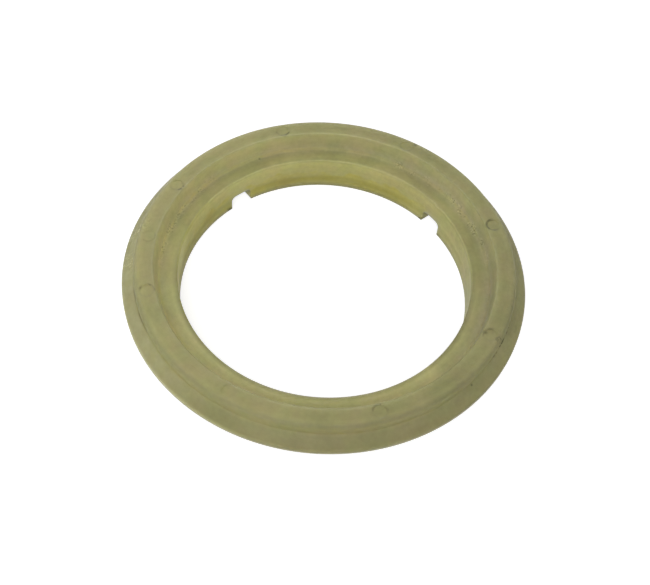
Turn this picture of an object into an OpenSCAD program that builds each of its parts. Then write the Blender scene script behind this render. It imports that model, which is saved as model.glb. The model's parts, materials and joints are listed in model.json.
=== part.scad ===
// Spacer ring: a one-piece moulded ring with a notched collar, a flange with a thin rim,
// and a raised land around a seat with a tapered wall. It stands on its collar.
// The origin is on the ring's axis, in the plane that the collar stands on. +Z points up.

/* [Ring] */
// Outer diameter, over the rim
rim_d = 100; // [96:0.5:120]
// Diameter of the bore
bore_d = 73; // [60:0.5:76]
// Overall height, from the collar's foot to the land
ring_h = 14.8; // [13.5:0.1:22]

/* [Collar] */
// Wall thickness of the collar
collar_wall = 3.1; // [2:0.1:4.4]
// Height of the collar below the flange's shoulder
collar_h = 4.2; // [3:0.1:7]
// Radius on the two edges of the collar's foot
foot_edge_r = 0.3; // [0.1:0.05:0.8]
// Radius in the corner between collar and shoulder
shoulder_fillet_r = 0.4; // [0.1:0.05:1]

/* [Notches] */
// Number of notches in the collar
notch_count = 4; // [2:1:8]
// Width of a notch between its sides
notch_w = 6.2; // [3:0.1:12]
// Radius on the two corners of a notch's mouth
notch_mouth_r = 0.4; // [0.1:0.1:1]
// Radius in the two inner corners of a notch
notch_corner_r = 1.3; // [0.2:0.1:1.6]

/* [Flange] */
// Width of the flat shoulder outside the collar
shoulder_w = 4.4; // [2:0.1:7]
// Height of the rim's lower edge above the collar's foot
rim_z = 8.4; // [7.2:0.1:9.4]
// Thickness of the rim's edge
rim_t = 1.1; // [0.6:0.1:1.8]
// Radius on the rim's upper edge
rim_edge_r = 0.35; // [0.1:0.05:0.5]
// Height of the crease where the brim meets the land's outer wall
crease_z = 12; // [11.3:0.1:12.6]
// Radius in that crease
crease_r = 0.35; // [0.1:0.05:0.8]

/* [Land] */
// Diameter over the land's outer wall
land_d = 93.7; // [90:0.1:95]
// Radius on the land's outer edge
land_edge_r = 1.1; // [0.3:0.05:1.2]
// Diameter of the seat at its mouth, in the plane of the land
seat_d = 84; // [81:0.1:86]
// Draft of the seat's wall, which narrows towards its floor, in degrees
seat_draft = 11; // [0:0.5:12]
// Height of the seat's floor above the collar's foot
seat_z = 10; // [8:0.1:11]
// Radius on the seat's upper edge
seat_edge_r = 0.35; // [0.1:0.05:0.8]
// Radius in the corner of the seat's floor
seat_fillet_r = 0.6; // [0.1:0.05:0.8]
// Radius on the bore's upper edge
bore_edge_r = 0.4; // [0.1:0.05:0.8]

/* [Ejector marks] */
// Number of ejector-pin marks on the land
pin_count = 8; // [4:1:12]
// Diameter of a mark
pin_d = 3.4; // [2:0.1:4]
// Depth of a mark below the land
pin_depth = 0.15; // [0.05:0.05:0.4]

/* [Hidden] */
$fn = 180;
bore_r = bore_d / 2;
collar_r = bore_r + collar_wall;
shoulder_r = collar_r + shoulder_w;
rim_r = rim_d / 2;
land_r = land_d / 2;
seat_r = seat_d / 2;
seat_foot_r = seat_r - (ring_h - seat_z) * tan(seat_draft);
// The marks lie midway across the flat of the land, between its two edge radii
pin_pitch_r = (seat_r + seat_edge_r + land_r - land_edge_r) / 2;
// Overshoot of a cutter past the face that it opens
cut = 1;

// Corners of half the ring's section, as [radius, height], anticlockwise from the foot
foot_in = [bore_r, 0];
foot_out = [collar_r, 0];
shoulder_in = [collar_r, collar_h];
shoulder_out = [shoulder_r, collar_h];
rim_low = [rim_r, rim_z];
rim_top = [rim_r, rim_z + rim_t];
crease = [land_r, crease_z];
land_out = [land_r, ring_h];
land_in = [seat_r, ring_h];
seat_corner = [seat_foot_r, seat_z];
bore_top = [bore_r, seat_z];

// The sliver between a corner and the arc that rounds it, at the middle one of three points
module corner_sliver(before, corner, after, radius) {
    to_before = (before - corner) / norm(before - corner);
    to_after = (after - corner) / norm(after - corner);
    half = acos(to_before * to_after) / 2;
    reach = radius / tan(half);
    middle = (to_before + to_after) / norm(to_before + to_after);
    difference() {
        polygon([corner, corner + reach * to_before, corner + reach * to_after]);
        translate(corner + radius / sin(half) * middle) circle(r = radius);
    }
}

// Half the ring's section, with its edges rounded and its corners filled
module section() {
    difference() {
        polygon([
            foot_in, foot_out, shoulder_in, shoulder_out, rim_low, rim_top,
            crease, land_out, land_in, seat_corner, bore_top
        ]);
        corner_sliver(bore_top, foot_in, foot_out, foot_edge_r);
        corner_sliver(foot_in, foot_out, shoulder_in, foot_edge_r);
        corner_sliver(rim_low, rim_top, crease, rim_edge_r);
        corner_sliver(crease, land_out, land_in, land_edge_r);
        corner_sliver(land_out, land_in, seat_corner, seat_edge_r);
        corner_sliver(seat_corner, bore_top, foot_in, bore_edge_r);
    }
    corner_sliver(foot_out, shoulder_in, shoulder_out, shoulder_fillet_r);
    corner_sliver(rim_top, crease, land_out, crease_r);
    corner_sliver(land_in, seat_corner, bore_top, seat_fillet_r);
}

// Outline of one notch, looking along the radius: open at the foot, with its mouth rounded
// and its inner corners filled
module notch_outline() {
    side = notch_w / 2;
    difference() {
        translate([-side, -cut]) square([notch_w, cut + collar_h]);
        corner_sliver([-side, 0], [-side, collar_h], [side, collar_h], notch_corner_r);
        corner_sliver([-side, collar_h], [side, collar_h], [side, 0], notch_corner_r);
    }
    corner_sliver([-side - notch_mouth_r, 0], [-side, 0], [-side, collar_h], notch_mouth_r);
    corner_sliver([side + notch_mouth_r, 0], [side, 0], [side, collar_h], notch_mouth_r);
    translate([-side - notch_mouth_r, -cut]) square([notch_w + 2 * notch_mouth_r, cut]);
}

// The notches, each cut through the collar's wall
module notches() {
    for (i = [0 : notch_count - 1])
        rotate([0, 0, i * 360 / notch_count])
            translate([bore_r - cut, 0, 0])
                rotate([90, 0, 90])
                    linear_extrude(collar_wall + cut + shoulder_fillet_r)
                        notch_outline();
}

// The shallow round marks that the ejector pins leave on the land
module ejector_marks() {
    for (i = [0 : pin_count - 1])
        rotate([0, 0, (i + 0.5) * 360 / pin_count])
            translate([pin_pitch_r, 0, ring_h - pin_depth])
                cylinder(d = pin_d, h = pin_depth + cut);
}

module spacer_ring() {
    color([0.58, 0.56, 0.39])
        difference() {
            rotate_extrude() section();
            notches();
            ejector_marks();
        }
}

spacer_ring();
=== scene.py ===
# %% [markdown]
# # A spacer ring
# The object is one moulded plastic ring: a thin collar with four notches, a flange that ends in a
# thin rim, and a raised land round a seat with a tapered wall. The plastic is unpainted and a
# little see-through, and age has turned it olive yellow. This file dresses the packed CAD model:
# it sweeps the ring's section with Geometry Nodes, gives it a worn translucent finish, and sets
# the camera, the floor and the lamps for the photograph's view.

# %% Load the packed model
import json
import math

import bpy
from mathutils import Matrix, Vector


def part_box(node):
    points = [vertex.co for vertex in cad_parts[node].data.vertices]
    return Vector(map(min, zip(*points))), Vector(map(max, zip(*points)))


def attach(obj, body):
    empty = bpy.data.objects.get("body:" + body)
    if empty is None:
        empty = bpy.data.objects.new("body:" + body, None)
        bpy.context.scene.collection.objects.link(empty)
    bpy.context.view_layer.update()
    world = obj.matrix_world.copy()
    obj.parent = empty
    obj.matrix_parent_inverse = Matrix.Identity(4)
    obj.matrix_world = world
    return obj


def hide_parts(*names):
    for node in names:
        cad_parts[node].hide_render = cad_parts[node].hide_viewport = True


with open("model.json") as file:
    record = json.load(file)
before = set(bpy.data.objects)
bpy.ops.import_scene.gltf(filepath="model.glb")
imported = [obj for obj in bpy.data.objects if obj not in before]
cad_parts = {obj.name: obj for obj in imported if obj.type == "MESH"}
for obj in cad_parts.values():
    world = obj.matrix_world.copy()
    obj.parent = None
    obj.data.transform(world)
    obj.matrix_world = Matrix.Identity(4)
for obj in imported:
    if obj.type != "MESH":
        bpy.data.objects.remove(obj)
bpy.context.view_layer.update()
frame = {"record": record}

# %% [markdown]
# ## Sizes
# Every size could be typed in here, but then the dressed ring could drift from the solid. So the
# overall size comes from the CAD node's box, and the fitting sizes come from the mounts that the
# record states. The sizes that no mount states, such as the brim's slope and the edge radii, are
# named here once, with the values of the CAD source. Everything is in metres.

# %% Sizes from the frame
MM = 0.001
ring_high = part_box("spacer_ring")[1]
mount = {entry["name"]: entry for entry in frame["record"]["mounts"]}
rim_r = ring_high.x
ring_h = ring_high.z
bore_r = mount["bore"]["dims"]["r_mm"] * MM
seat_z = mount["seat_floor"]["pos_m"][2]
collar_h = mount["shoulder"]["pos_m"][2]
print(f"radii: rim {rim_r:.4f}, bore {bore_r:.4f}; heights: {ring_h:.4f}, seat {seat_z:.4f}")

# %% Sizes of the section
collar_r = bore_r + 3.1 * MM
shoulder_r = collar_r + 4.4 * MM
rim_z = 8.4 * MM
rim_t = 1.1 * MM
crease_z = 12 * MM
land_r = 46.85 * MM
seat_r = 42 * MM
seat_draft = math.radians(11)
seat_foot_r = seat_r - (ring_h - seat_z) * math.tan(seat_draft)
foot_edge = 0.3 * MM
shoulder_fillet = 0.4 * MM
rim_edge = 0.35 * MM
crease_fillet = 0.35 * MM
land_edge = 1.1 * MM
seat_edge = 0.35 * MM
seat_fillet = 0.6 * MM
bore_edge = 0.4 * MM
print(f"seat {2000 * seat_r:.1f} mm at the land, {2000 * seat_foot_r:.1f} mm at its floor")

# %% Sizes of the notches and the ejector marks
notch_count = 4
notch_w = 6.2 * MM
notch_mouth = 0.4 * MM
notch_corner = 1.3 * MM
mark_count = 8
mark_r = 1.7 * MM
mark_depth = 0.15 * MM
mark_pitch = (seat_r + seat_edge + land_r - land_edge) / 2
print(f"ejector marks on a circle of {2000 * mark_pitch:.1f} mm")

# %% [markdown]
# ## The section
# A ring like this is drawn as half a section and turned about its axis. A Bevel modifier with
# weights could round the edges of a coarse ring, but here every edge has a radius of its own, and
# a drawing of the section is where a maker writes them down. So its corners are listed once, each
# with its rounding. One function turns such a list into a loop of points: it replaces each corner
# by an arc that is tangent to both sides, and puts evenly spaced points on the straight
# stretches, so that the shading of a flat face isn't pulled by the arc beside it.

# %% A rounded outline from corners
def rounded_outline(corners, spacing, arc_steps=6):
    """Points round a closed outline. A corner is (across, up, radius)."""
    arcs = []
    for i, (x, y, radius) in enumerate(corners):
        here = Vector((x, y))
        to_before = (Vector(corners[i - 1][:2]) - here).normalized()
        to_after = (Vector(corners[(i + 1) % len(corners)][:2]) - here).normalized()
        half = to_before.angle(to_after) / 2
        if radius == 0:
            arcs.append([here])
            continue
        reach = radius / math.tan(half)
        centre = here + (to_before + to_after).normalized() * radius / math.sin(half)
        first = here + to_before * reach - centre
        last = here + to_after * reach - centre
        turn = math.atan2(first.x * last.y - first.y * last.x, first.dot(last))
        arcs.append([
            centre + Matrix.Rotation(turn * step / arc_steps, 2) @ first
            for step in range(arc_steps + 1)
        ])
    points = []
    for i, rounding in enumerate(arcs):
        points += rounding
        start, end = rounding[-1], arcs[(i + 1) % len(arcs)][0]
        pieces = max(1, round((end - start).length / spacing))
        points += [start.lerp(end, step / pieces) for step in range(1, pieces)]
    return points


rounded_square = rounded_outline([(0, 0, 0), (1, 0, 0), (1, 1, 0.2), (0, 1, 0)], spacing=1)
print("points round a square with one rounded corner:", len(rounded_square))

# %% The ring's section
section_corners = [
    (bore_r, 0, foot_edge),
    (collar_r, 0, foot_edge),
    (collar_r, collar_h, shoulder_fillet),
    (shoulder_r, collar_h, 0),
    (rim_r, rim_z, 0),
    (rim_r, rim_z + rim_t, rim_edge),
    (land_r, crease_z, crease_fillet),
    (land_r, ring_h, land_edge),
    (seat_r, ring_h, seat_edge),
    (seat_foot_r, seat_z, seat_fillet),
    (bore_r, seat_z, bore_edge),
]
section_spacing = 0.5 * MM
section_points = rounded_outline(section_corners, section_spacing)
print("points round the section:", len(section_points))

# %% The outline of one notch
cut = 1 * MM
notch_side = notch_w / 2
notch_end = notch_side + notch_mouth + cut
notch_corners = [
    (-notch_end, -cut, 0),
    (notch_end, -cut, 0),
    (notch_end, 0, 0),
    (notch_side, 0, notch_mouth),
    (notch_side, collar_h, notch_corner),
    (-notch_side, collar_h, notch_corner),
    (-notch_side, 0, notch_mouth),
    (-notch_end, 0, 0),
]
notch_spacing = 1 * MM
notch_points = rounded_outline(notch_corners, notch_spacing, arc_steps=8)
print("points round a notch:", len(notch_points))

# %% [markdown]
# ## Helpers for node trees
# A node tree can be laid out by hand in the editor, but a script says how it was made, and it
# gives the same tree each time. Three small helpers keep that short. One adds a node, sets what it
# has to be told first, and then links or sets its sockets. One starts a Geometry Nodes tree with
# named inputs. The last puts such a tree on a piece, bakes the result into a plain mesh and takes
# the modifier off again, because a finished piece is a plain mesh.

# %% Add a node
def add_node(tree, kind, settings=None, sockets=None):
    """One node of a tree. A socket gets a plain value, or a link from another node's output."""
    node = tree.nodes.new(kind)
    for title, value in (settings or {}).items():
        setattr(node, title, value)
    for title, value in (sockets or {}).items():
        source = getattr(value, "socket", value)
        if isinstance(source, bpy.types.NodeSocket):
            tree.links.new(source, node.inputs[title])
        else:
            node.inputs[title].default_value = source
    return node


print("add_node takes a tree, a kind of node, its settings and its sockets")

# %% Start a Geometry Nodes tree
def new_tree(name, inputs):
    """A Geometry Nodes tree with one geometry in and out, and the named inputs given."""
    tree = bpy.data.node_groups.new(name, "GeometryNodeTree")
    tree.interface.new_socket("Geometry", in_out="INPUT", socket_type="NodeSocketGeometry")
    for title, kind in inputs.items():
        tree.interface.new_socket(title, in_out="INPUT", socket_type="NodeSocket" + kind)
    tree.interface.new_socket("Geometry", in_out="OUTPUT", socket_type="NodeSocketGeometry")
    return tree, tree.nodes.new("NodeGroupInput").outputs


print("trees so far:", len(bpy.data.node_groups))

# %% Bake a tree into a mesh
def grow(name, mesh, tree, values):
    """The mesh that a tree makes out of another mesh, as an object of its own."""
    seed = bpy.data.objects.new(name + "_seed", mesh)
    bpy.context.scene.collection.objects.link(seed)
    modifier = seed.modifiers.new(tree.name, "NODES")
    modifier.node_group = tree
    for socket in tree.interface.items_tree:
        if socket.in_out == "INPUT" and socket.name in values:
            modifier[socket.identifier] = values[socket.name]
    depsgraph = bpy.context.evaluated_depsgraph_get()
    grown = bpy.data.meshes.new_from_object(seed.evaluated_get(depsgraph), depsgraph=depsgraph)
    seed.modifiers.remove(modifier)
    bpy.data.objects.remove(seed)
    made = bpy.data.objects.new(name, grown)
    bpy.context.scene.collection.objects.link(made)
    return made


# %% [markdown]
# ## The cutters
# In the mould, steel blocks form the notches of the collar, and ejector pins leave round marks on
# the land. Both could be drawn into the mesh face by face, but cutting them out keeps the section
# plain and their edges clean. One cutter of each kind is a prism, drawn on the X axis at its own
# radius. One tree then repeats either kind about the ring's axis: it duplicates the cutter as
# instances and turns each by its share of a circle.

# %% A prism cutter
def prism(name, base, along):
    """A closed prism: the loop of 3-D points given, and the same loop moved along a vector."""
    count = len(base)
    mesh = bpy.data.meshes.new(name)
    sides = [(i, (i + 1) % count, count + (i + 1) % count, count + i) for i in range(count)]
    ends = [tuple(range(count))[::-1], tuple(range(count, 2 * count))]
    mesh.from_pydata(base + [point + along for point in base], [], sides + ends)
    return mesh


notch_prism = prism(
    "notch_cutter",
    [Vector((bore_r - cut, p.x, p.y)) for p in notch_points],
    Vector((collar_r - bore_r + cut + shoulder_fillet, 0, 0)),
)
mark_sides = 48
mark_angles = [2 * math.pi * step / mark_sides for step in range(mark_sides)]
mark_centre = Vector((mark_pitch, 0, ring_h - mark_depth))
mark_prism = prism(
    "mark_cutter",
    [mark_centre + mark_r * Vector((math.cos(a), math.sin(a), 0)) for a in mark_angles],
    Vector((0, 0, mark_depth + cut)),
)
print("faces of one cutter:", len(notch_prism.polygons), len(mark_prism.polygons))

# %% A tree that repeats a piece about the ring's axis
repeat_tree, given = new_tree("Repeat about the axis", {"Count": "Int", "Shift": "Float"})
single = add_node(repeat_tree, "GeometryNodeGeometryToInstance", sockets={
    "Geometry": given["Geometry"],
})
copies = add_node(repeat_tree, "GeometryNodeDuplicateElements", {"domain": "INSTANCE"}, {
    "Geometry": single.outputs[0], "Amount": given["Count"],
})
one_step = add_node(repeat_tree, "ShaderNodeMath", {"operation": "DIVIDE"}, {
    0: 2 * math.pi, 1: given["Count"],
})
steps = add_node(repeat_tree, "ShaderNodeMath", {"operation": "ADD"}, {
    0: copies.outputs["Duplicate Index"], 1: given["Shift"],
})
whole_turn = add_node(repeat_tree, "ShaderNodeMath", {"operation": "MULTIPLY"}, {
    0: steps.outputs[0], 1: one_step.outputs[0],
})
about_z = add_node(repeat_tree, "ShaderNodeCombineXYZ", sockets={"Z": whole_turn.outputs[0]})
turned = add_node(repeat_tree, "GeometryNodeRotateInstances", sockets={
    "Instances": copies.outputs["Geometry"],
    "Rotation": about_z.outputs[0],
    "Local Space": False,
})
realized = add_node(repeat_tree, "GeometryNodeRealizeInstances", sockets={
    "Geometry": turned.outputs[0],
})
add_node(repeat_tree, "NodeGroupOutput", sockets={"Geometry": realized.outputs[0]})
print("nodes of the repeat tree:", len(repeat_tree.nodes))

# %% The cutters, repeated
notch_layout = {"Count": notch_count, "Shift": 0.0}
notch_cutters = grow("notch_cutters", notch_prism, repeat_tree, notch_layout)
mark_layout = {"Count": mark_count, "Shift": 0.5}
mark_cutters = grow("mark_cutters", mark_prism, repeat_tree, mark_layout)
print("cutter faces:", len(notch_cutters.data.polygons), len(mark_cutters.data.polygons))

# %% [markdown]
# ## The ring
# The ring is a shape with a rule: its section, swept round a circle. A Screw modifier or a spin
# would turn it as well, but Curve to Mesh does it in the same tree as the cuts. The section is
# drawn about the circle's own radius, because the sweep carries it there. Two booleans then cut
# the notches and the ejector marks, and the edges that are sharper than the smooth angle are kept
# crisp.

# %% A tree that sweeps the ring
sweep_r = (bore_r + rim_r) / 2
ring_tree, given = new_tree("Moulded ring", {
    "Sweep radius": "Float", "Segments": "Int", "Notches": "Object", "Marks": "Object",
    "Smooth angle": "Float", "Material": "Material",
})
profile = add_node(ring_tree, "GeometryNodeMeshToCurve", sockets={"Mesh": given["Geometry"]})
circle = add_node(ring_tree, "GeometryNodeCurvePrimitiveCircle", sockets={
    "Radius": given["Sweep radius"], "Resolution": given["Segments"],
})
swept = add_node(ring_tree, "GeometryNodeCurveToMesh", sockets={
    "Curve": circle.outputs[0], "Profile Curve": profile.outputs[0],
})
body = add_node(ring_tree, "GeometryNodeFlipFaces", sockets={"Mesh": swept.outputs[0]})
print("nodes of the ring's tree so far:", len(ring_tree.nodes))

# %% Cuts and crisp edges in that tree
cutting = {"operation": "DIFFERENCE", "solver": "MANIFOLD"}
for cutter in ("Notches", "Marks"):
    tool = add_node(ring_tree, "GeometryNodeObjectInfo", sockets={"Object": given[cutter]})
    body = add_node(ring_tree, "GeometryNodeMeshBoolean", cutting, {
        "Mesh 1": body.outputs[0], "Mesh 2": tool.outputs["Geometry"],
    })
edge_angle = add_node(ring_tree, "GeometryNodeInputMeshEdgeAngle")
is_soft = add_node(ring_tree, "FunctionNodeCompare", {"operation": "LESS_THAN"}, {
    0: edge_angle.outputs[0], 1: given["Smooth angle"],
})
smooth = add_node(ring_tree, "GeometryNodeSetShadeSmooth", {"domain": "FACE"}, {
    "Geometry": body.outputs[0],
})
crisp = add_node(ring_tree, "GeometryNodeSetShadeSmooth", {"domain": "EDGE"}, {
    "Geometry": smooth.outputs[0], "Shade Smooth": is_soft.outputs[0],
})
realized = add_node(ring_tree, "GeometryNodeRealizeInstances", sockets={
    "Geometry": crisp.outputs[0],
})
dressed = add_node(ring_tree, "GeometryNodeSetMaterial", sockets={
    "Geometry": realized.outputs[0], "Material": given["Material"],
})
add_node(ring_tree, "NodeGroupOutput", sockets={"Geometry": dressed.outputs[0]})
print("nodes of the ring's tree:", len(ring_tree.nodes))

# %% Grow the ring
segments = 360
smooth_angle = math.radians(35)
aged_plastic = bpy.data.materials.new("aged_translucent_plastic")
section_mesh = bpy.data.meshes.new("ring_section")
section_mesh.from_pydata(
    [(p.x - sweep_r, -p.y, 0) for p in section_points],
    [(i, (i + 1) % len(section_points)) for i in range(len(section_points))],
    [],
)
ring = grow("moulded_ring", section_mesh, ring_tree, {
    "Sweep radius": sweep_r, "Segments": segments, "Notches": notch_cutters,
    "Marks": mark_cutters, "Smooth angle": smooth_angle, "Material": aged_plastic,
})
for cutter in (notch_cutters, mark_cutters):
    bpy.data.objects.remove(cutter)
# Corner 0 of Blender's bound box is its lowest one and corner 6 its highest
lowest, highest = ring.bound_box[0], ring.bound_box[6]
print("ring box, mm:", [round(1000 * value, 2) for value in (*lowest, *highest)])
print("ring faces:", len(ring.data.polygons))
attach(ring, "root")
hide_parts("spacer_ring")

# %% [markdown]
# ## Shader maths as Python
# The finish depends on where a point lies in the section and round the ring. That takes several
# hundred Math nodes, which nobody would lay out by hand. Written as Python expressions, the same
# maths is short to read: a small class wraps a socket, and each operator adds the Math node that
# it stands for. The reflected forms let a plain number come first.

# %% A socket that Python's operators work on
class Wire:
    """One output socket of a shader tree. An expression on wires adds its Math nodes."""

    def __init__(self, socket):
        self.socket = socket

    def node(self, kind, settings=None, sockets=None, out=0):
        """Any other node in the same tree, as a wire from one of its outputs."""
        return Wire(add_node(self.socket.id_data, kind, settings, sockets).outputs[out])

    def math(self, operation, first, second=0.0, third=0.0):
        """A Math node of the operation named."""
        values = {0: first, 1: second, 2: third}
        return self.node("ShaderNodeMath", {"operation": operation}, values)

    def __add__(self, other):
        return self.math("ADD", self, other)

    def __radd__(self, other):
        return self.math("ADD", other, self)

    def __sub__(self, other):
        return self.math("SUBTRACT", self, other)

    def __rsub__(self, other):
        return self.math("SUBTRACT", other, self)

    def __mul__(self, other):
        return self.math("MULTIPLY", self, other)

    def __rmul__(self, other):
        return self.math("MULTIPLY", other, self)

    def __truediv__(self, other):
        return self.math("DIVIDE", self, other)

    def __rtruediv__(self, other):
        return self.math("DIVIDE", other, self)

    def fade(self, start, end, low=0.0, high=1.0):
        """Low before start, high after end, and a smooth step between them."""
        return self.node("ShaderNodeMapRange", {"interpolation_type": "SMOOTHSTEP"}, {
            "Value": self, "From Min": start, "From Max": end, "To Min": low, "To Max": high,
        })

    def line(self, value, half_width):
        """1 at a value, falling to 0 at half_width to either side of it."""
        return self.math("ABSOLUTE", self - value).fade(0, half_width, 1, 0)

    def band(self, low, high, soft):
        """1 between two values, with soft ends."""
        return self.fade(low - soft, low + soft) * self.fade(high - soft, high + soft, 1, 0)


print("methods of a wire:", [title for title in vars(Wire) if title[0] != "_"])

# %% [markdown]
# ## Where a point lies
# The moulding is round, so its marks and stains follow three numbers: how far a point is from
# the axis, how high it is, and where it is round the ring. A UV map could carry them, but Object
# coordinates give all three for nothing, because the ring stands at the origin with its place in
# its mesh. They stay with the ring in every view.

# %% Radius and height of a point, in millimetres
aged_plastic.use_nodes = True
paint = aged_plastic.node_tree
shader = paint.nodes["Principled BSDF"]
place = Wire(add_node(paint, "ShaderNodeTexCoord").outputs["Object"])
place = place.node("ShaderNodeVectorMath", {"operation": "SCALE"}, {0: place, "Scale": 1 / MM})
split = place.node("ShaderNodeSeparateXYZ", sockets={0: place}).socket.node.outputs
east, north, height = (Wire(split[axis]) for axis in "XYZ")
across = place.math("SQRT", east * east + north * north)
print("nodes so far:", len(paint.nodes))

# %% Masks that follow the section and the turn
def near(radius, up, reach):
    """1 at a corner of the section, falling to 0 at a distance of reach. All in metres."""
    out = across - radius / MM
    rise = height - up / MM
    return place.math("SQRT", out * out + rise * rise).fade(0, reach / MM, 1, 0)


def toward(degrees):
    """How far a point is turned towards a direction: 1 there, 0 at its sides and -1 opposite."""
    turn = math.radians(degrees)
    return (east * math.cos(turn) + north * math.sin(turn)) / across


def arc(degrees, half_angle, soft=4):
    """1 on a stretch of the ring's turn, with soft ends."""
    low = math.cos(math.radians(half_angle + soft))
    high = math.cos(math.radians(half_angle - min(soft, half_angle)))
    return toward(degrees).fade(low, high)


print("turn 0 is the middle of the notch on +X, and turns count towards +Y")

# %% Noise that keeps to the ring
# The radius, in millimetres, at which drag keeps to its sizes
drag_r = 42


def cloud(size, seed, detail=2.0):
    """Soft patches of a size in millimetres, from about 0 to 1. A seed moves the pattern."""
    shift = (17.0 * seed, 5.0 * seed, 0)
    moved = place.node("ShaderNodeVectorMath", {"operation": "ADD"}, {0: place, 1: shift})
    return place.node("ShaderNodeTexNoise", sockets={
        "Vector": moved, "Scale": 1 / size, "Detail": detail,
    })


def drag(along, over, seed):
    """Noise drawn out round the ring: along and over are its sizes with and across the turn."""
    stretched = place.node("ShaderNodeCombineXYZ", sockets={
        "X": east / across * (drag_r / along) + seed,
        "Y": north / across * (drag_r / along),
        "Z": (across + height) * (1 / over),
    })
    return place.node("ShaderNodeTexNoise", sockets={
        "Vector": stretched, "Scale": 1.0, "Detail": 1.0,
    })


print("drag keeps to its sizes at a radius of", drag_r, "mm")

# %% Colours from masks
def tint(mask, under, over):
    """One colour over another where the mask is 1. The colours are sockets 6, 7 and output 2."""
    return mask.node("ShaderNodeMix", {"data_type": "RGBA"}, {0: mask, 6: under, 7: over}, out=2)


print("a tint takes its mask from 0, the colour under, to 1, the colour over")

# %% [markdown]
# ## How light leaves the plastic
# The real plastic is cloudy right through. Light goes deep into it and comes out evenly, so the
# ring looks almost flat: the wall of the seat is nearly as light as the land. Volume scattering
# could show that, but it is slow and grainy. The Principled shader's subsurface scattering
# comes close. It makes thin edges too bright and inner corners too dark, since it can't see how
# thick the moulding is, so the base colour makes up for that with painted light and shade by
# zones of the section. The painted light and shade also change round the ring, as in the
# photograph. Directions such as `near_side` are fixed to the ring, and nothing here reads the
# camera.

# %% Zones of the seat and the bore
# The bounds are radii and heights in millimetres, a little off the corners that they lie by
in_seat = across.band(36.7, 41.9, 0.3) * height.band(9.7, 14.4, 0.2)
seat_wall = across.fade(40.9, 41.3) * in_seat * height.fade(9.9, 10.5)
seat_corner = near(seat_foot_r, seat_z, 2.6 * MM)
corner_line = near(seat_foot_r, seat_z, 0.9 * MM)
mouth_edge = across.fade(42.5, 42.1) * height.fade(14.0, 14.5)
in_bore = across.fade(37.0, 36.6)
bore_upper = in_bore * height.band(4.0, 9.6, 0.8)
bore_middle = in_bore * height.band(1.6, 4, 0.6)
bore_lip = near(bore_r, seat_z, 1.6 * MM)
foot_strip = in_bore * height.fade(1.9, 0.1)
foot_lip = near(bore_r, 0, 1.2 * MM)
in_notch = across.band(36.7, 39.9, 0.15) * height.fade(4.5, 4.1)
print("nodes so far:", len(paint.nodes))

# %% Zones of the land, the brim and the rim
on_land = height.fade(14.3, 14.5)
land_round = near(land_r, ring_h, 1.6 * MM)
outer_wall = across.band(46.2, 47.2, 0.4) * height.band(12.2, 14.2, 0.3)
on_brim = across.fade(46.9, 47.6) * height.band(8.8, 12.3, 0.3)
rim_glow = near(rim_r, rim_z + rim_t, 3.4 * MM)
rim_edge_zone = near(rim_r, rim_z + 0.6 * MM, 1.7 * MM)
print("nodes so far:", len(paint.nodes))

# %% Tone of the seat
# Each step adds or takes a share of the light where its mask is 1
near_side = toward(-132)
far_side = toward(48)
near_face = near_side.fade(0.2, 0.9)
tone = 1.03 + in_seat * 0.1 + seat_wall * 0.1 + seat_corner * 0.3
tone += corner_line * toward(-10).fade(0.3, 0.9, 0.3, 0.16)
tone += in_seat * across.fade(41.0, 40.0) * near_side.fade(-0.4, 1, -0.04, 0.38)
tone += in_seat * toward(3).fade(0.8, 0.98) * 0.09
tone -= in_seat * toward(-48).fade(0.75, 0.98) * 0.09
tone += seat_wall * toward(120).fade(0.2, 0.9) * 0.16
tone -= seat_corner * toward(93).fade(0.2, 0.9) * 0.12
tone -= mouth_edge * near_face * 0.22
print("nodes so far:", len(paint.nodes))

# %% Tone of the bore and the collar
# Painted light and shade of the bore and the collar, by zone and by side, one side painted whiter
lit_bore_side = in_bore * toward(-35).fade(0.55, 0.95)
dim_end = in_bore * toward(141).fade(0.7, 0.97)
tone += in_bore * (0.1 + bore_upper * 0.39) + bore_middle * 0.12
tone += in_bore * toward(-9).fade(0.82, 0.98) * height.fade(9, 2, 0.08, 0.18)
tone += lit_bore_side * (height.fade(6, 4) * 0.1 - 0.12)
tone -= dim_end * height.fade(7, 3, 0.05, 0.24)
tone -= bore_lip * near_side.fade(-0.3, 0.9, 0.16, 0.9)
tone -= foot_strip * far_side.fade(0, 0.7, 0.2, 0.6)
tone -= foot_lip * toward(95).fade(0, 0.6) * 0.4
tone -= in_notch * 0.1
print("nodes so far:", len(paint.nodes))

# %% Tone of the land, the brim and the rim
# Painted light and shade of the land, the brim and the rim, by zone and by side
tone += height.fade(14.2, 14.6) * far_side * 0.04
tone -= land_round * near_side.fade(-0.5, 0.4, 0.14, 0.36)
tone -= outer_wall * 0.06
tone -= on_brim * near_side.fade(0.5, 1, 0, 0.1)
tone -= rim_glow * 0.23 + rim_edge_zone * 0.06
print("nodes so far:", len(paint.nodes))

# %% [markdown]
# ## Age, with some painted light and shade
# The plastic was pale once. Age has turned it olive, more on one side than on the other, and
# part of that difference is painted light. The collar's inner wall is a deeper yellow below a
# soft line, painted as the colour of light that has come through the thin collar. One noise could
# drive all of that, but it would look like one pattern. Here clouds of several sizes make the
# tone uneven, one more shifts it between a greener and a browner olive, and the painted yellow
# has a wavy line of its own. Part of the brim is paler and greyer, which is a painted sheen, and
# the far side of the seat has dull patches.

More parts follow.
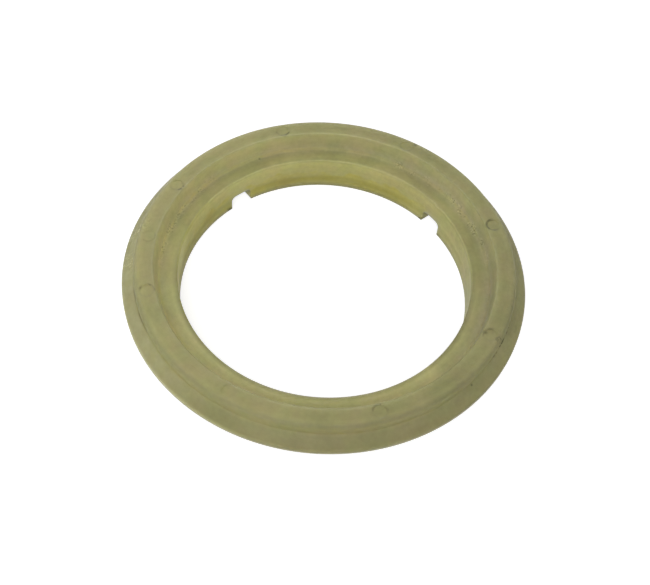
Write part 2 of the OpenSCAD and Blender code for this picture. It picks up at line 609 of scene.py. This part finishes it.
# %% Uneven tone
# One side paler and the other darker: partly uneven age, partly painted light
side_age_and_light = toward(148) * 0.1 + (toward(153) * toward(153)) * 0.05
blotches = (cloud(13, 1) - 0.5) * (0.28 + in_seat * 0.02) + (cloud(4.5, 2) - 0.5) * 0.2
mottle = (cloud(1.1, 3, 3.0) - 0.5) * 0.3 + (drag(3.2, 0.55, 4) - 0.5) * 0.12
dull_patches = cloud(6, 21, 3.0).fade(0.44, 0.54) - 0.4
dull = in_seat * across.fade(40.9, 40.3) * far_side.fade(-0.2, 0.4) * dull_patches
tone *= 1.1 + side_age_and_light + blotches + mottle - dull * 0.1
print("nodes so far:", len(paint.nodes))

# %% Olive, greener and browner
olive = (0.319, 0.301, 0.146, 1)
greener = (0.307, 0.303, 0.143, 1)
browner = (0.328, 0.300, 0.153, 1)
hue_shift = cloud(6, 5, 4.0)
aged_and_lit = tint(hue_shift.fade(0.42, 0.7), olive, greener)
aged_and_lit = tint(hue_shift.fade(0.55, 0.3), aged_and_lit, browner)
print("nodes so far:", len(paint.nodes))

# %% Painted light through the collar and a painted sheen on the brim
# Painted light: the deeper yellow of light that has come through the thin collar, below a wavy line
transmitted_yellow = (0.320, 0.291, 0.105, 1)
sheen_olive = (0.35, 0.34, 0.19, 1)
below = (height + (cloud(5, 6) - 0.5) * 6).fade(6.0, 4.8)
transmitted_band = in_bore * (1 - lit_bore_side) * below * drag(16, 2.6, 7).fade(0.3, 0.62, 0.35, 1)
aged_and_lit = tint(transmitted_band, aged_and_lit, transmitted_yellow)
# A painted sheen: part of the brim paler and greyer
brim_sheen = on_brim * arc(146, 42, 14) * cloud(3, 20).fade(0.3, 0.6, 0.3, 0.8)
aged_and_lit = tint(brim_sheen, aged_and_lit, sheen_olive)
print("nodes so far:", len(paint.nodes))

# %% [markdown]
# ## Traces of the mould, with painted highlights and shade
# The small radii of the seat and the bore carry thin pale lines, which are painted highlights,
# the rim is painted lighter on one stretch and darker on another, the crease outside the land is
# darkened with painted shade, and dark flecks and pale painted glints lie in the corner of the
# seat. Each ejector pin leaves a round with a dark edge, which is clearest on the side towards
# the axis. Painted images could place each trace exactly. Masks made from the section's own
# corners are used instead, because they stay sharp at any distance, and noise breaks them up,
# because neither wear nor light is ever even.

# %% Painted highlights on the radii
# Painted highlights on the seat's and the bore's radii, broken up, strongest on the far side
highlight_breakup = drag(9, 3, 8).fade(0.36, 0.6, 0.25, 1)
mouth_line = near(seat_r, ring_h, 0.6 * MM)
painted_edge_light = near(seat_foot_r - seat_fillet, seat_z, 0.5 * MM) * 0.16
painted_edge_light += mouth_line * (arc(48, 34, 12) * 0.12 - arc(-38, 46, 10) * 0.24)
painted_edge_light += near(bore_r, seat_z, 0.6 * MM) * 0.17
tone += painted_edge_light * highlight_breakup * far_side.fade(-0.2, 0.7, 0.25, 1)
# Painted light and shade along the rim: lighter on one stretch, darker on another
rim_line = near(rim_r, rim_z + 0.7 * MM, 1.0 * MM)
tone += rim_line * arc(178, 28, 12) * 0.42 - rim_line * arc(-55, 40, 15) * 0.3
print("nodes so far:", len(paint.nodes))

# %% Painted shade in the crease
crease_line = near(land_r, crease_z, 0.55 * MM)
# Painted light that lifts the crease on the near side
tone += near(land_r, crease_z, 1.2 * MM) * near_side.fade(0.1, 0.8, 0.04, 0.1)
# Painted shade: dark stretches of the crease, one soft and one broken up
soft_crease_shade = arc(160, 8, 3) * drag(4, 2, 9).fade(0.36, 0.56, 0.35, 1) * 0.5
hard_crease_shade = arc(-65, 6, 3) * cloud(0.9, 22).fade(0.42, 0.58) * 0.85
grime_and_shade = crease_line * (soft_crease_shade + hard_crease_shade)
print("nodes so far:", len(paint.nodes))

# %% Dark flecks and painted glints in the seat's corner
fleck_arc = arc(-3, 28, 6) + arc(121, 22, 6) * 0.6
fleck_zone = near(seat_foot_r - 0.2 * MM, seat_z + 0.2 * MM, 1.7 * MM).fade(0, 0.7)
fleck_zone *= fleck_arc * cloud(3.5, 19).fade(0.46, 0.6)
flecks = cloud(0.5, 10, 1.0)
grime_and_shade += fleck_zone * flecks.fade(0.54, 0.66) * 0.55
# The pale flecks are painted glints
tone += fleck_zone * flecks.fade(0.46, 0.34) * 0.5
print("nodes so far:", len(paint.nodes))

# %% How far a point is from the nearest ejector mark
share = 2 * math.pi / mark_count
around = place.math("ARCTAN2", north, east)
in_share = place.math("WRAP", around, share, 0.0) - share / 2
mark_out = across - mark_pitch / MM
mark_side = in_share * (mark_pitch / MM)
from_mark = place.math("SQRT", mark_out * mark_out + mark_side * mark_side)
print("ejector marks:", mark_count, "with edges at", round(mark_r / MM, 2), "mm")

# %% Edges of the ejector marks
# Some marks are fainter or stronger: (turn, half its stretch, change of strength)
mark_changes = [
    (22.5, 4, -0.8), (202.5, 4, -0.85), (-67.5, 4, -0.5), (-112.5, 4, -0.35), (112.5, 5, 0.9),
]
strength = 1
for mark_turn, half_angle, change in mark_changes:
    strength += arc(mark_turn, half_angle, 2) * change
lean = mark_out + mark_side * arc(135, 30, 10) * 1.5
edge_reach = 0.52
mark_edge = from_mark.line(mark_r / MM, edge_reach) * lean.fade(1.4, -0.8, 0.1, 1)
mark_broken = cloud(2.6, 11).fade(0.42, 0.56, 0.1, 1)
grime_and_shade += on_land * mark_edge * mark_broken * strength * 0.7
mark_face = from_mark.fade(1.6, 1.2)
tone += on_land * mark_face * 0.04
print("nodes so far:", len(paint.nodes))

# %% One faint extra mark
extra_turn = math.radians(136)
extra_pitch = 44
extra_r = 1.6
extra_reach = 0.4
extra_east = east - extra_pitch * math.cos(extra_turn)
extra_north = north - extra_pitch * math.sin(extra_turn)
from_extra = place.math("SQRT", extra_east * extra_east + extra_north * extra_north)
grime_and_shade += on_land * from_extra.line(extra_r, extra_reach) * mark_broken * 0.2
print("nodes so far:", len(paint.nodes))

# %% [markdown]
# ## Knocks and scuffs
# A few marks stand where the real ring has them: dark specks pressed into the plastic, a short
# dark scratch beside the crease, a rub on the brim that left fine scuffs with painted pale glints,
# and two brown spots in the bore. Some paler patches are painted pools of light. Noise alone
# would put them anywhere, so each is a soft spot about one point of the ring, given by its turn,
# radius and height.

# %% Spots at a place on the ring
def spot(degrees, radius, up, size):
    """1 at a point given by its turn, radius and height in millimetres, and 0 beyond its size."""
    turn = math.radians(degrees)
    centre = (radius * math.cos(turn), radius * math.sin(turn), up)
    ends = {0: place, 1: centre}
    away = place.node("ShaderNodeVectorMath", {"operation": "DISTANCE"}, ends, out=1)
    return away.fade(0, size, 1, 0)


# Each speck is a turn, a radius, a height and a size
specks = [
    (-83.1, 47.25, 11.7, 0.5), (20.2, 45.7, 14.8, 0.8),
    (78.1, 40.4, 10.0, 0.5), (-67.4, 42.7, 14.8, 0.8),
]
for speck in specks:
    grime_and_shade += spot(*speck) * 0.7
grime_and_shade += spot(-67.6, 46.3, 14.4, 1.6) * cloud(0.6, 12).fade(0.45, 0.6) * 0.6
print("dark specks:", len(specks), "and one scratch")

# %% The rub on the brim
rubbed = spot(131.5, 47.4, 12, 5.5) + spot(143, 48.2, 11, 5) * 0.7
rub = rubbed * drag(5, 1.3, 24).fade(0.4, 0.58)
scuffs_and_glints = cloud(0.7, 13).fade(0.5, 0.6)
# Painted pale glints on the rub's scuffs, whose roughness and bump are set further down
tone += rub * scuffs_and_glints * 0.7
grime_and_shade += rub * cloud(0.7, 14).fade(0.55, 0.66) * 0.45
print("nodes so far:", len(paint.nodes))

# %% Painted pools of light and brown spots
# Each painted pool of light is a spot and how much paler it makes the colour
painted_light_pools = [
    ((-90, 38.6, 10, 5), 0.24), ((-178, 38.4, 10, 5.5), 0.1),
    ((79, 36.5, 1.8, 2.2), 0.16), ((53, 38.6, 10, 6), 0.07),
]
for where, amount in painted_light_pools:
    tone += spot(*where) * amount
burnt = (0.27, 0.222, 0.082, 1)
brown_spots = spot(70, 36.5, 3.0, 5) + spot(109, 36.5, 4.0, 4)
print("paler patches:", len(painted_light_pools))

# %% [markdown]
# ## The colour, put together
# One ramp from dark to pale could colour the ring, but age, grime and light each change its hue
# in their own way. So the aged colour gets its brown spots, then the grime and the painted shade
# over it, and is then multiplied by the tone, which carries most of the painted light and shade.
# Blue gets a painted tone of its own, because old plastic takes away more of it where light has
# gone further inside. Grime and painted shade never cover the plastic fully, so that they read
# as a film and not as paint.

# %% Blue by zone
# Painted light and shade in the blue, by zone and by side, besides the painted yellow
bluer = 1 + seat_corner * 0.14 + seat_wall * 0.13 - transmitted_band * 0.1
bluer -= (in_seat + in_bore) * far_side.fade(-0.7, 0.3) * 0.1
bluer -= outer_wall * toward(-32).fade(0.6, 0.95, 0.05, 0.25)
bluer += in_seat * toward(-20).fade(0.5, 0.9) * 0.07
bluer -= (mouth_edge + bore_lip) * near_face * 0.2
bluer -= dim_end * 0.2 + foot_strip * 0.22 + in_notch * 0.1 + rim_edge_zone * 0.05
print("nodes so far:", len(paint.nodes))

# %% Base colour
# Grime, marks and the painted shade of the crease share one dark colour and one cap
grime_and_shade_colour = (0.068, 0.068, 0.034, 1)
most_grime_and_shade = 0.85
colour = tint(brown_spots * 0.5, aged_and_lit, burnt)
grimed_and_shaded = tint(grime_and_shade.math("MINIMUM", grime_and_shade, most_grime_and_shade), colour, grime_and_shade_colour)
shades = tone.node("ShaderNodeCombineColor", sockets={0: tone, 1: tone, 2: tone * bluer})
lit = grimed_and_shaded.node("ShaderNodeVectorMath", {"operation": "MULTIPLY"}, {0: grimed_and_shaded, 1: shades})
paint.links.new(lit.socket, shader.inputs["Base Color"])
print("nodes so far:", len(paint.nodes))

# %% [markdown]
# ## Surface
# The mould gave the ring a satin skin, and handling has scuffed it, so the roughness varies in
# clouds and rises where it is rubbed or grimy. Displacement could carry the grain, but it is far
# too fine to need geometry, so a shallow bump carries it: a fine grain, soft unevenness, the
# faint lines of turning in the mould, and the scuffs. Values that are the same everywhere are set
# on the shader's own sockets. The scattering radii are in shares of the scale: red goes furthest
# and blue least, which keeps thin edges a little warmer.

# %% Roughness and bump
rough = 0.5 + (cloud(5, 15, 3.0) - 0.5) * 0.3 + rub * scuffs_and_glints * 0.15 + grime_and_shade * 0.2
paint.links.new(rough.socket, shader.inputs["Roughness"])
relief_depth = 0.2 * MM
relief_strength = 0.35
grain = cloud(0.5, 16) * 0.35 + cloud(2.4, 17) * 0.9 + drag(7, 0.4, 18) * 0.3 + rub * scuffs_and_glints * 0.8
relief = grain.node("ShaderNodeBump", sockets={
    "Height": grain, "Strength": relief_strength, "Distance": relief_depth,
})
paint.links.new(relief.socket, shader.inputs["Normal"])
print("nodes in the finish:", len(paint.nodes))

# %% Scattering
scatter_reach = 12 * MM
scatter_shares = (1.0, 0.95, 0.7)
satin_gloss = 0.12
shader.inputs["Specular IOR Level"].default_value = satin_gloss
shader.inputs["Subsurface Weight"].default_value = 1.0
shader.inputs["Subsurface Radius"].default_value = scatter_shares
shader.inputs["Subsurface Scale"].default_value = scatter_reach
print("links in the finish:", len(paint.links))

# %% [markdown]
# ## The camera
# The lens and the place were found by fitting the outlines of the rim, the land, the bore and two
# notches to the photograph, which is surer than turning the view by eye. The camera looks down at
# the ring from about a quarter of a metre away, over the side between -X and -Y. The trim is the
# small turn by which the photographer missed the ring's middle and the level.

# %% Where the camera stands
photo_w = 650
focal_px = 949
camera_distance = 237.5 * MM
camera_turn = math.radians(48.1)
camera_down = math.radians(53.10)
look_at = Vector((0, 0, rim_z))
back = Vector((math.cos(camera_turn), math.sin(camera_turn), 0))
right = Vector((math.sin(camera_turn), -math.cos(camera_turn), 0))
up = Vector((0, 0, 1))
ahead = back * math.cos(camera_down) - up * math.sin(camera_down)
over = back * math.sin(camera_down) + up * math.cos(camera_down)
facing = Matrix((right, over, -ahead)).transposed()
print("the camera faces", [round(value, 3) for value in ahead])

# %% Camera
trim_degrees = {"X": -1.238, "Y": -0.105, "Z": 4.825}
trim = Matrix.Identity(3)
for axis, degrees in trim_degrees.items():
    trim = trim @ Matrix.Rotation(math.radians(degrees), 3, axis)
stand = Matrix.Translation(look_at - ahead * camera_distance)
camera = bpy.data.objects.new("camera", bpy.data.cameras.new("camera"))
camera.data.lens = focal_px / photo_w * camera.data.sensor_width
camera.data.clip_start = 10 * MM
camera.matrix_world = stand @ (facing @ trim).to_4x4()
bpy.context.scene.collection.objects.link(camera)
bpy.context.scene.camera = camera
print("lens, mm:", round(camera.data.lens, 2))
print("camera at", [round(value, 3) for value in camera.location])

# %% [markdown]
# ## Floor, world and lamps
# The photograph shows the ring on plain white. Strong lamps would whiten the floor, but they would
# bleach the ring too. So the floor is a pale matte sheet that also glows for rays which come
# straight from the camera or off a reflection: it comes out white where it is lit, keeps a soft
# shadow where the ring stands, and puts no more light on the ring. The world does the same without
# a shadow. The lamps are two large soft boxes at a plain level.

# %% A surface that looks white to the camera
def seen_directly(tree):
    """1 for rays from the camera and for reflected and transmitted rays, and 0 for others."""
    path = Wire(add_node(tree, "ShaderNodeLightPath").outputs["Is Camera Ray"])
    source = path.socket.node.outputs
    glossy = Wire(source["Is Glossy Ray"])
    transmitted = Wire(source["Is Transmission Ray"])
    return path.math("MAXIMUM", path, path.math("MAXIMUM", glossy, transmitted))


print("materials so far:", [material.name for material in bpy.data.materials])

# %% Floor
floor_grey = 0.65
floor_glow = 0.75
half_floor = 3.0
floor_mesh = bpy.data.meshes.new("floor")
floor_corners = [
    (-half_floor, -half_floor, 0), (half_floor, -half_floor, 0),
    (half_floor, half_floor, 0), (-half_floor, half_floor, 0),
]
floor_mesh.from_pydata(floor_corners, [], [(0, 1, 2, 3)])
floor = bpy.data.objects.new("floor", floor_mesh)
bpy.context.scene.collection.objects.link(floor)
print("floor, m:", 2 * half_floor, "square")

# %% Floor finish
floor_paint = bpy.data.materials.new("white_floor")
floor_paint.use_nodes = True
floor_tree = floor_paint.node_tree
floor_tree.nodes.remove(floor_tree.nodes["Principled BSDF"])
matte = add_node(floor_tree, "ShaderNodeBsdfDiffuse", sockets={
    "Color": (floor_grey, floor_grey, floor_grey, 1),
})
glow = add_node(floor_tree, "ShaderNodeEmission", sockets={
    "Strength": seen_directly(floor_tree) * floor_glow,
})
both = add_node(floor_tree, "ShaderNodeAddShader", sockets={
    0: matte.outputs[0], 1: glow.outputs[0],
})
floor_tree.links.new(both.outputs[0], floor_tree.nodes["Material Output"].inputs["Surface"])
floor.data.materials.append(floor_paint)
print("nodes in the floor's finish:", len(floor_tree.nodes))

# %% World
ambient = 0.4
world = bpy.data.worlds.new("studio")
bpy.context.scene.world = world
world.use_nodes = True
sky = world.node_tree.nodes["Background"]
white = seen_directly(world.node_tree)
world.node_tree.links.new((white * (1 - ambient) + ambient).socket, sky.inputs["Strength"])
sky.inputs["Color"].default_value = (1, 1, 1, 1)
print("world strength on the ring:", ambient)

# %% Lamps
def soft_lamp(name, position, power, size):
    """A square soft box that faces the ring. Its position and size are in metres."""
    light = bpy.data.lights.new(name, "AREA")
    light.energy = power
    light.size = size
    lamp = bpy.data.objects.new(name, light)
    lamp.location = position
    lamp.rotation_euler = (-position).to_track_quat("-Z", "Y").to_euler()
    bpy.context.scene.collection.objects.link(lamp)
    print(name, "at", [round(value, 2) for value in position], "with", power, "W")


box_size = 0.3
fill_power = 1.57
window_power = 0.24
fill_from = -back * 0.5 - right * 0.05 + up * 0.45
window_from = -right * 0.18 + up * 0.3
soft_lamp("fill_soft_box", fill_from, fill_power, box_size)
soft_lamp("window_soft_box", window_from, window_power, box_size)
bpy.context.scene.view_settings.view_transform = "Standard"
